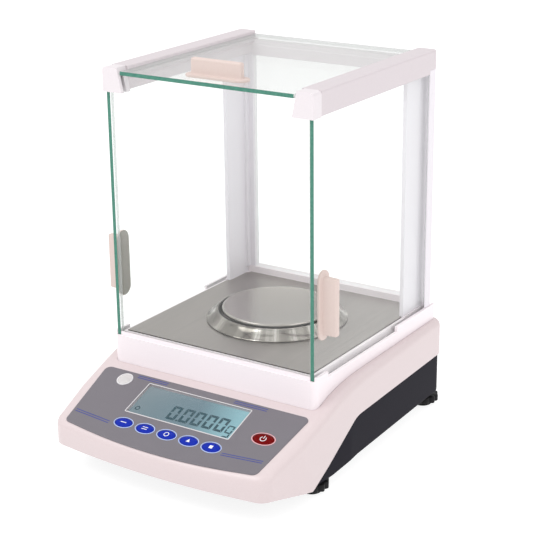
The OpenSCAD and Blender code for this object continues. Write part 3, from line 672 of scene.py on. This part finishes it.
rings = [(WALL + 1, dark_floor), (WALL, lambda y: dark_floor(y) + 1), (WALL, dark_top),
         (0, dark_top), (0, lambda y: dark_top(y) - 0.5)]
rings += round_in(2.2, dark_bottom, 5)
tub = link("housing_tub", ring_solid("housing_tub", closed(DARK_HALF), rings, NAVY), "base",
           ["lower_housing"])
PADS = {k: [(a + b) / 2 for a, b in zip(*node_mm("foot_pad_" + k))][:2]
        for k in ("front_left", "front_right", "rear_left", "rear_right")}
SCREWS = [(-80, -88), (80, -88), (-88, 60), (88, 60), (-66, 112), (66, 112)]
INLET, PORT = (55, 30), (-50, 30)  # in x and z
HATCH = 10  # half width of the hatch under the hook


def rear_cutter(name, centre, a, b):
    """A box through the rear wall, from its centre in x and z and its half sizes."""
    return cutter(name, *prism(shifted(block(a, b), *centre), REAR_Y - 8, REAR_Y + 8,
                               lambda x, z, y: v(x, y, z)))


cutters = [cutter("c_bore", *prism(shifted(oval(4, 4), *p), 0, 17)) for p in PADS.values()]
cutters += [cutter("c_screw", *prism(shifted(oval(3.4, 3.4, 32), *p), 0, 40)) for p in SCREWS]
cutters += [cutter("c_hook", *prism(shifted(block(HATCH, HATCH), *PAN_C), 0, 40)),
            rear_cutter("c_inlet", INLET, 13.9, 10.2), rear_cutter("c_port", PORT, 10.4, 5.6)]
cut(tub, cutters)
shade(tub.data, 28)


def lathe(name, profile, mat, centre, steps=96, angle=30):
    """Turns a closed outline of (radius, height) about Z."""
    verts, faces, n = [], [], len(profile)
    for i in range(steps):
        a = 2 * math.pi * i / steps
        verts += [v(centre[0] + r * math.cos(a), centre[1] + r * math.sin(a), z)
                  for r, z in profile]
        faces += bridge(i * n, (i + 1) % steps * n, n)
    me = mesh_of(name, verts, faces, [mat])
    bm = bmesh.new()
    bm.from_mesh(me)
    bmesh.ops.remove_doubles(bm, verts=bm.verts, dist=1e-7)
    bmesh.ops.dissolve_degenerate(bm, edges=bm.edges, dist=1e-8)
    bmesh.ops.recalc_face_normals(bm, faces=bm.faces)
    bm.to_mesh(me)
    bm.free()
    shade(me, angle)
    return me


BOSS_PROFILE = [(4, 9.6), (6, 9.6), (6.5, 10.1), (6.5, 24.6), (4, 24.6)]
for k, p in PADS.items():
    link("foot_boss_" + k, lathe("foot_boss_" + k, BOSS_PROFILE, NAVY, p), "base")

# ---------- feet ----------


WHEEL_Z = (3.3, 9.1)
BORE_R, THREAD_R, ROOT_R, PITCH = 2.57, 3.93, 3.3, 1.25


def foot_wheel(k, p):
    """A lobed hand wheel, bored from below, with its threaded stud."""
    lo, hi = node_mm("foot_wheel_" + k)
    n, reach, lobe = 144, (hi[1] - lo[1]) / 2, 2
    pts = []
    for i in range(n):
        a = 2 * math.pi * i / n
        r = reach - lobe + lobe * (0.5 + 0.5 * math.cos(12 * a + math.pi)) ** 0.6
        pts.append((r * math.cos(a), r * math.sin(a)))
    z0, z1 = WHEEL_Z
    rim = [(inset(pts, d), z) for d, z in ((0.9, z0), (0.25, z0 + 0.25), (0, z0 + 0.9),
                                           (0, z1 - 0.9), (0.25, z1 - 0.25), (0.9, z1))]
    bore = [(oval(BORE_R, BORE_R, n), z) for z in (z0, z0 + 3)]
    turns = [(THREAD_R if t % 2 else ROOT_R, z1 + 0.6 + PITCH / 2 * t) for t in range(26)]
    stud = [(oval(r, r, n), z) for r, z in [(THREAD_R, z1)] + turns + [(3.0, 25.8)]]
    verts = [v(p[0] + x, p[1] + y, z) for loop, z in rim + bore + stud for x, y in loop]
    b0, b1 = len(rim) * n, len(rim + bore) * n
    faces = tube(len(rim), n) + bridge(0, b0, n) + bridge(b0, b0 + n, n) + [cap(b0 + n, n)]
    faces += bridge(b0 - n, b1, n) + tube(len(stud), n, b1) + [cap(len(verts) - n, n)]
    link("wheel_" + k, mesh_of("wheel_" + k, verts, faces, [BLACK], 35),
         "foot_wheel_" + k, ["foot_wheel_" + k])


PAD_PROFILE = [(0, 0), (7.7, 0), (8.5, 0.8), (8.5, 2.2), (7.9, 3), (2.5, 3), (2.5, 6.1), (0, 6.1)]
for k, p in PADS.items():
    foot_wheel(k, p)
    link("pad_" + k, lathe("pad_" + k, PAD_PROFILE, RUBBER, p, 64), "foot_pad_" + k,
         ["foot_pad_" + k])

# ---------- control panel ----------


def plate(name, pts, h0, h1, place, mat, replaces):
    """A thin plate over an outline, its top edge softened by one small step."""
    n, edge = len(pts), 0.15
    verts = [place(x, y, h) for d, h in ((0, h0), (0, h1 - edge), (edge, h1))
             for x, y in inset(pts, d)]
    faces = [cap(0, n), cap(2 * n, n)] + tube(3, n)
    return link(name, mesh_of(name, verts, faces, [mat], 50), "base", replaces)


OVER_Y = PANEL_Y - 4.8
over = on_panel(0, OVER_Y)


def over_w(y):
    """Place of a plan y in the overlay's own frame."""
    return (y - OVER_Y) / math.cos(TILT)


FILM = 0.5  # thickness of the overlay
TOP_X, LOW_X, LOW_W, CORNER = 90.7, 84.3, -57.2, 5  # centres and radius of its corners
bow = [76 * i / 12 for i in range(-12, 13)]
edge_pts = (arc(TOP_X, 0, CORNER, 5, 90, 6) + arc(-TOP_X, 0, CORNER, 90, 175, 6)
            + arc(-LOW_X, LOW_W, CORNER, 175, 262, 6)
            + [(x, -69.3 + 7.2 * (x / 84) ** 2) for x in bow]
            + arc(LOW_X, LOW_W, CORNER, -82, 5, 6))
film = plate("panel_film", edge_pts, 0.0, FILM, over, PANEL, ["keypad_overlay"])
cut(film, panel_cutters(0.2, 0.3, -5, 5))
shade(film.data, 40)


def band(name, pts, width, mat, close=False):
    """A printed line that follows points of the overlay's own frame."""
    n, h0, h1 = len(pts), FILM - 0.02, FILM + 0.05
    verts, faces = [], []
    for i, p in enumerate(pts):
        a = pts[(i - 1) % n] if close or i else pts[i]
        b = pts[(i + 1) % n] if close or i < n - 1 else pts[i]
        tx, ty = b[0] - a[0], b[1] - a[1]
        k = math.hypot(tx, ty)
        nx, ny = -ty / k * width / 2, tx / k * width / 2
        verts += [over(p[0] + nx, p[1] + ny, h1), over(p[0] - nx, p[1] - ny, h1),
                  over(p[0] - nx, p[1] - ny, h0), over(p[0] + nx, p[1] + ny, h0)]
    for i in range(n if close else n - 1):
        a, b = 4 * i, 4 * ((i + 1) % n)
        faces += [(a + j, b + j, b + (j + 1) % 4, a + (j + 1) % 4) for j in range(4)]
    if not close:
        faces += [cap(0, 4), cap(4 * (n - 1), 4)]
    link(name, mesh_of(name, verts, faces, [mat], 40), "base")


def plan_line(x0, y0, x1, y1):
    """A straight line between two points in plan, in the overlay's own frame."""
    return [(x0 + (x1 - x0) * i / 6, over_w(y0 + (y1 - y0) * i / 6)) for i in range(7)]


# plan ends of the four pairs of printed lines: two above the display, two beside the keys
TRIM = [(-62.5, -70.6, -33.4, -70.6), (29.7, -70.6, 59.6, -70.6),
        (-87.5, -117.9, -52.7, -120.9), (51.8, -120.9, 86.3, -117.9)]
TRIM_WIDTH, TRIM_STEP = 0.8, 1.9
for k, (x0, y0, x1, y1) in enumerate(TRIM):
    for j, drop in enumerate((0, TRIM_STEP)):
        band(f"trim_line_{k}_{j}", plan_line(x0, y0 - drop, x1, y1 - drop), TRIM_WIDTH, INK_BLUE)


def halo(name, where, a, b, mat):
    """A printed ring just outside an oval key hole."""
    width, gap = 0.7, 0.3
    reach = gap + width / 2
    pts = shifted(oval(a + reach, b + reach, 64), where[0], over_w(where[1]))
    band(name, pts, width, mat, close=True)


for i, x in enumerate(KEY_XS, 1):
    halo(f"key_halo_{i}", (x, KEY_Y), KEY_A, KEY_B, HALO_BLUE)
halo("power_halo", POWER, POWER_A, POWER_B, HALO_RED)
band("display_frame", shifted(block(LCD_A + 0.7, LCD_B + 0.7, 0.8), 0, over_w(LCD_Y)), 0.8,
     FRAME_INK, close=True)

CAP_TOP, CAP_RISE = 0.72, 0.36
STEM_R = 2.2


def dome(name, a, b, place, mat, node):
    """An oval key cap with a softly domed face and a stem that meets its switch."""
    n, rows = 56, [(1.0, -1.0), (1.0, CAP_TOP - 0.7), (0.985, CAP_TOP - 0.35),
                   (0.94, CAP_TOP - 0.12)]
    rows += [(q, CAP_TOP + CAP_RISE * (1 - (q / 0.9) ** 2)) for q in (0.88, 0.7, 0.5, 0.25)]
    verts = [place(x * q, y * q, h) for q, h in rows for x, y in oval(a, b, n)]
    stem = len(verts)
    verts += [place(x, y, h) for h in (-1.0, -2.6) for x, y in oval(STEM_R, STEM_R, n)]
    faces = tube(len(rows), n) + [cap(stem - n, n)]
    faces += bridge(0, stem, n) + bridge(stem, stem + n, n) + [cap(stem + n, n)]
    link(name, mesh_of(name, verts, faces, [mat], 45), node, [node])


def glyph(name, parts, place, h, body, mat=INK_WHITE, thick=0.08):
    """A plain printed sign made of convex outlines in the key's own frame."""
    verts, faces = [], []
    for pts in parts:
        s, n = len(verts), len(pts)
        verts += [place(x, y, h + d) for d in (-0.05, thick) for x, y in pts]
        faces += [cap(s, n), cap(s + n, n)] + bridge(s, s + n, n)
    link(name, mesh_of(name, verts, faces, [mat], 40), body)


def arc_strip(cx, cy, r, a0, a1, w, n):
    """Small quads along an arc, as printed strokes."""
    low, high = arc(cx, cy, r - w / 2, a0, a1, n), arc(cx, cy, r + w / 2, a0, a1, n)
    return [[low[k], high[k], high[k + 1], low[k + 1]] for k in range(n)]


SIGNS = [
    [block(2.6, 0.35)],
    [rect(-2.4, 0.7, 2.4, 1.3), rect(-2.4, -1.3, 2.4, -0.7)],
    arc_strip(0, 0, 1.9, 0, 360, 0.6, 28),
    [[(-1.7, -1.5), (1.7, -1.5), (0, 1.7)]],
    [block(1.5, 1.5)],
]
POWER_SIGN = arc_strip(0, -0.3, 2.3, 130, 410, 0.6, 26) + [rect(-0.3, 0, 0.3, 2.9)]
SIGN_H = CAP_TOP + CAP_RISE * 0.86
for i, (x, sign) in enumerate(zip(KEY_XS, SIGNS), 1):
    here = on_panel(x, KEY_Y)
    dome(f"cap_{i}", KEY_A, KEY_B, here, BLUE, f"key_{i}")
    glyph(f"sign_{i}", sign, here, SIGN_H, f"key_{i}")
here = on_panel(*POWER)
dome("cap_power", POWER_A, POWER_B, here, RED, "power_key")
glyph("sign_power", POWER_SIGN, here, SIGN_H, "power_key")

# display: glowing panel with a painted reflection, seven-segment digits under a clear window
lcd = on_panel(0, LCD_Y)
LIT_TOP = -1.3
plate("display_panel", block(LCD_A - 0.2, LCD_B - 0.2, 0.5), -6.6, LIT_TOP, lcd, LCD,
      ["lcd_module"])
plate("display_window", block(LCD_A, LCD_B, 0.6), -1.1, 0.3, lcd, WINDOW,
      ["lcd_window"])


def seven(x, w, width, height, on="abcdef", t=2.3):
    """Outlines of the lit strokes of one digit whose lower left corner is (x, w)."""
    g, m = 0.22, height / 2
    strokes = {
        "a": [(g, height), (width - g, height), (width - t, height - t), (t, height - t)],
        "d": [(g, 0), (t, t), (width - t, t), (width - g, 0)],
        "g": [(t * 0.6, m), (t, m + t / 2), (width - t, m + t / 2), (width - t * 0.6, m),
              (width - t, m - t / 2), (t, m - t / 2)],
        "f": [(0, height - g), (t, height - t - g), (t, m + t / 2), (0, m + g)],
        "e": [(0, g), (0, m - g), (t, m - t / 2), (t, t + g)],
        "b": [(width, height - g), (width, m + g), (width - t, m + t / 2),
              (width - t, height - t - g)],
        "c": [(width, g), (width - t, t + g), (width - t, m - t / 2), (width, m - g)]}
    return [[(x + px, w + py) for px, py in strokes[s]] for s in on]


digits = [rect(-4.6, -11.9, -3, -10.3)]
for x in (-14, -2.6, 8, 18.7, 29.3):
    digits += seven(x, -12 + 0.025 * (x + 14), 8.3, 15)
unit = seven(39.3, -10.2, 6, 8.6, "afedbc", 1.3) + seven(39.3, -14.6, 6, 9, "cd", 1.3)
small = arc_strip(-42.1, -9.3, 1.8, 0, 360, 1.0, 20)
glyph("display_digits", digits + unit + small, lcd, LIT_TOP + 0.03, "base", DIGIT, 0.02)


def level_piece(name, profile, mat, node):
    """A round piece of the bubble level, turned about the panel's own normal."""
    me = lathe(name, profile, mat, (0, 0), 56, 35)
    place = on_panel(*LEVEL)
    for vert in me.vertices:
        vert.co = place(*(c / MM for c in vert.co))
    link(name, me, "base", [node])


level_piece("level_ring", [(0, -9), (LEVEL_R, -9), (LEVEL_R, 0.7), (6.5, 0.95), (6.0, 0.95),
                           (5.8, 0.75), (5.8, -7.6), (0, -7.6)], CUP, "level_cup")
level_piece("level_glass", [(0, -7.6), (5.75, -7.6), (5.75, 0.8), (5.2, 1.05), (4.2, 1.35),
                            (2.8, 1.72), (1.4, 1.92), (0, 1.98)], LENS, "level_lens")
level_piece("level_disc", [(0, -7.4), (5.5, -7.4), (5.5, -6.7), (0, -6.7)], CUP,
            "level_bubble")
drop = arc(0, -2.6, 1.7, -75, 75, 10)
level_piece("level_bubble_drop", [(0, -4.3)] + drop + [(0, -0.9)], FLUID,
            "level_bubble")

# ---------- draft shield ----------

# width in mm, steps and names of the CAD pieces whose edges are softened
SOFT_EDGES = [
    (0.9, 3, ["front_left_cap", "front_right_cap"]),
    (0.45, 3, ["shield_tray", "left_top_rail", "right_top_rail", "rear_top_beam",
               "rear_left_post", "rear_right_post"]),
    (0.3, 3, ["left_guide_strip", "right_guide_strip"]),
    (0.3, 2, ["pan_support"]),
    (0.2, 2, ["floor_plate", "cell_base", "hanger", "lever_beam", "power_transformer",
              "main_board", "keypad_board", "position_sensor", "power_inlet", "serial_port"])]
for width, segments, names in SOFT_EDGES:
    for name in names:
        bevel(NODES[name], width, segments)


def pane(node, body, green=(0, 0, 0)):
    """A glass pane with polished chamfers; edges that face along `green` look deep green."""
    lo, hi = node_mm(node)
    thin = min(range(3), key=lambda k: hi[k] - lo[k])
    bm = bmesh.new()
    bmesh.ops.create_cube(bm, size=1)
    for p in bm.verts:
        p.co = v(*[(lo[k] + hi[k]) / 2 + p.co[k] * (hi[k] - lo[k]) for k in range(3)])
    bmesh.ops.bevel(bm, geom=list(bm.edges), offset=0.3 * MM, segments=2, affect="EDGES",
                    profile=0.5)
    bm.normal_update()
    for f in bm.faces:
        f.material_index = 0 if abs(f.normal[thin]) > 0.99 else 2
        if f.normal.dot(Vector(green)) > 0.3:
            f.material_index = 1
    me = bpy.data.meshes.new(node + "_pane")
    bm.to_mesh(me)
    bm.free()
    for m in (GLASS, EDGE, EDGE_PALE):
        me.materials.append(m)
    link(node + "_pane", me, body, [node])


pane("front_glass", "base")
pane("rear_glass", "base")
# glazing seal round the border of the rear pane, behind posts, tray and beam
SEAL_Y, SEAL_Z = (120.15, 122.95), (91, 291)
POST_X, EDGE_X = 76.9, 78.9
TRAY_Z, BEAM_Z = 97, 286
GAP = 0.05
for name, x0, x1, z0, z1 in (("left", -EDGE_X, -POST_X - GAP, *SEAL_Z),
                             ("right", POST_X + GAP, EDGE_X, *SEAL_Z),
                             ("bottom", -POST_X, POST_X, SEAL_Z[0], TRAY_Z - GAP),
                             ("top", -POST_X, POST_X, BEAM_Z + GAP, SEAL_Z[1])):
    name = "rear_seal_" + name
    strip = prism(rect(x0, SEAL_Y[0], x1, SEAL_Y[1]), z0, z1)
    link(name, mesh_of(name, *strip, [SEAL], 30), "base")
for side in ("left", "right", "top"):
    pane(side + "_door_glass", side + "_door", (0, -1, 0))

handle_lo, handle_hi = node_mm("right_door_handle")
HANDLE_LEN = handle_hi[2] - handle_lo[2]
HANDLE_R = 7.5


def handle(node, body, place):
    """A round-ended plate with a raised grip, in its own frame: grip along w, out along h."""
    e = HANDLE_LEN / 2 - HANDLE_R
    pts = arc(0, e, HANDLE_R, 0, 180, 16) + arc(0, -e, HANDLE_R, 180, 360, 16)
    rows = [(0.3, 0), (0, 0.3), (0, 1.2), (0.25, 1.75), (0.8, 2.0)]
    verts = [place(x, y, h) for d, h in rows for x, y in inset(pts, d)]
    n, g = len(pts), len(verts)
    faces = tube(len(rows), n) + [cap(0, n), cap(g - n, n)]
    back = len(faces) - 2
    grip = block(2.6, HANDLE_LEN / 2 - 4.8, 1.2)
    rows = [(-0.8, 1.7), (-0.3, 2.1), (0, 2.7), (0.12, 12)]
    rows += [(0.12 + 1.6 * (1 - math.cos(math.radians(a))),
              12.1 + 1.6 * math.sin(math.radians(a))) for a in (20, 40, 60, 78, 90)]
    verts += [place(x, y, h) for d, h in rows for x, y in inset(grip, min(d, 1.15))]
    m = len(grip)
    faces += tube(len(rows), m, g) + [cap(g, m), cap(len(verts) - m, m)]
    me = mesh_of(node + "_grip", verts, faces, [BEIGE, HANDLE_BACK_SHADE], 40)
    # the plate's back face is painted grey, as painted shade against the glass
    me.polygons[back].material_index = 1
    link(node + "_grip", me, body, [node])


for side, s in (("left", -1), ("right", 1)):
    node = side + "_door_handle"
    lo, hi = node_mm(node)
    cy, cz = (lo[1] + hi[1]) / 2, (lo[2] + hi[2]) / 2
    x0 = hi[0] if s < 0 else lo[0]
    handle(node, side + "_door", lambda u, w, h, s=s, x0=x0: v(x0 + s * h, cy + s * u, cz + w))
lo, hi = node_mm("top_door_handle")
handle("top_door_handle", "top_door",
       lambda u, w, h: v((lo[0] + hi[0]) / 2 + w, (lo[1] + hi[1]) / 2 - u, lo[2] + h))

# ---------- pan and ring ----------

z = node_mm("draft_ring")[0][2]
ring_prof = [(55.0, z), (57.2, z), (57.8, z + 0.35), (57.95, z + 0.9), (57.6, z + 1.4),
             (56.8, z + 1.65), (55.2, z + 1.9), (50.9, z + 7.0), (50.2, z + 7.75),
             (49.4, z + 8.15), (48.3, z + 8.15), (47.6, z + 7.9), (47.45, z + 7.5),
             (48.6, z + 7.2), (49.4, z + 6.7), (53.8, z + 1.4), (54.6, z + 0.9)]
ring_mesh = lathe("ring", ring_prof, POLISH_PAINTED_REFLECTION, PAN_C, 160, 50)
# the inner side of the ring is painted near-black, as painted shade in the gap round the pan
ring_mesh.materials.append(PAINTED_SHADE_DARK)
for f in ring_mesh.polygons:
    out = f.center - v(*PAN_C, 0)
    out.z = 0
    if f.normal.dot(out.normalized()) < -0.2:
        f.material_index = 1
link("ring", ring_mesh, "draft_ring", ["draft_ring"])
z = node_mm("pan")[1][2]
pan_prof = [(0, z - 0.35), (42.0, z - 0.35), (42.8, z - 0.15), (43.4, z), (44.2, z - 0.1),
            (44.8, z - 0.55), (45, z - 1.2), (45, z - 2.5), (44.6, z - 2.6), (43.9, z - 2.5),
            (43.5, z - 1.5), (42.8, z - 1.1), (5.5, z - 1.1), (5.5, z - 2), (0, z - 2)]
link("pan_disc", lathe("pan_disc", pan_prof, PAN, PAN_C, 160, 40), "pan", ["pan"])

# ---------- stage, light, camera ----------

floor_mat = new_mat("stage_floor", (0.3, 0.3, 0.3), 0.7, Specular_IOR_Level=0.1,
                    Emission_Color=(1, 1, 1, 1), Emission_Strength=0.87)
STAGE_HALF = 40000
me = mesh_of("stage_floor", [v(x, y, 0) for x, y in block(STAGE_HALF, STAGE_HALF)], [cap(0, 4)],
             [floor_mat])
floor = bpy.data.objects.new("stage_floor", me)
scene.collection.objects.link(floor)
floor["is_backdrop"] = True

world = bpy.data.worlds.new("world")
scene.world = world
world.use_nodes = True
nt = world.node_tree
sky, l = nt.nodes["Background"], nt.links
sky.inputs["Strength"].default_value = 1.3
tc = nt.nodes.new("ShaderNodeTexCoord")
split = nt.nodes.new("ShaderNodeSeparateXYZ")
fade = nt.nodes.new("ShaderNodeValToRGB")
e = fade.color_ramp.elements
e[0].position, e[0].color = 0.055, (0.82, 0.82, 0.82, 1)
e[1].position, e[1].color = 0.85, (0.9, 0.9, 0.9, 1)
e.new(0.075).color = (0.5, 0.49, 0.49, 1)
e.new(0.4).color = (0.66, 0.65, 0.65, 1)
l.new(tc.outputs["Generated"], split.inputs["Vector"])
l.new(split.outputs["Z"], fade.inputs["Fac"])
l.new(fade.outputs["Color"], sky.inputs["Color"])


def area(name, where, target, size, power):
    """A soft rectangular lamp that looks at a target, all in metres."""
    data = bpy.data.lights.new(name, "AREA")
    data.shape = "RECTANGLE"
    data.size, data.size_y = size
    data.energy = power
    o = bpy.data.objects.new(name, data)
    scene.collection.objects.link(o)
    o.location = where
    o.rotation_euler = (Vector(target) - Vector(where)).to_track_quat("-Z", "Y").to_euler()


area("key_light", (-0.9, -1.3, 1.9), (0, 0, 0.12), (1.3, 1.0), 14)
area("fill_light", (1.9, -0.4, 1.2), (0, 0, 0.1), (1.2, 1.2), 6)

# camera: where it stands and how it is turned, fitted to the object's straight edges
CAMERA_AT = (0.63086, -0.93180, 0.53255)
AZ, EL, ROLL = math.radians(33.535), math.radians(19.037), math.radians(-0.696)
back = Vector((math.sin(AZ) * math.cos(EL), -math.cos(AZ) * math.cos(EL), math.sin(EL)))
right = (-back).cross(Vector((0, 0, 1))).normalized()
up = right.cross(-back)
across = math.cos(ROLL) * right + math.sin(ROLL) * up
upward = -math.sin(ROLL) * right + math.cos(ROLL) * up
cam_data = bpy.data.cameras.new("camera")
cam_data.lens = 101.68
cam_data.sensor_width = 36
cam_data.clip_start, cam_data.clip_end = 0.05, 50
cam = bpy.data.objects.new("camera", cam_data)
scene.collection.objects.link(cam)
rot = Matrix((across, upward, back)).transposed().to_4x4()
cam.matrix_world = Matrix.Translation(CAMERA_AT) @ rot
scene.camera = cam
scene.view_settings.view_transform = "Standard"

lo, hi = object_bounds()
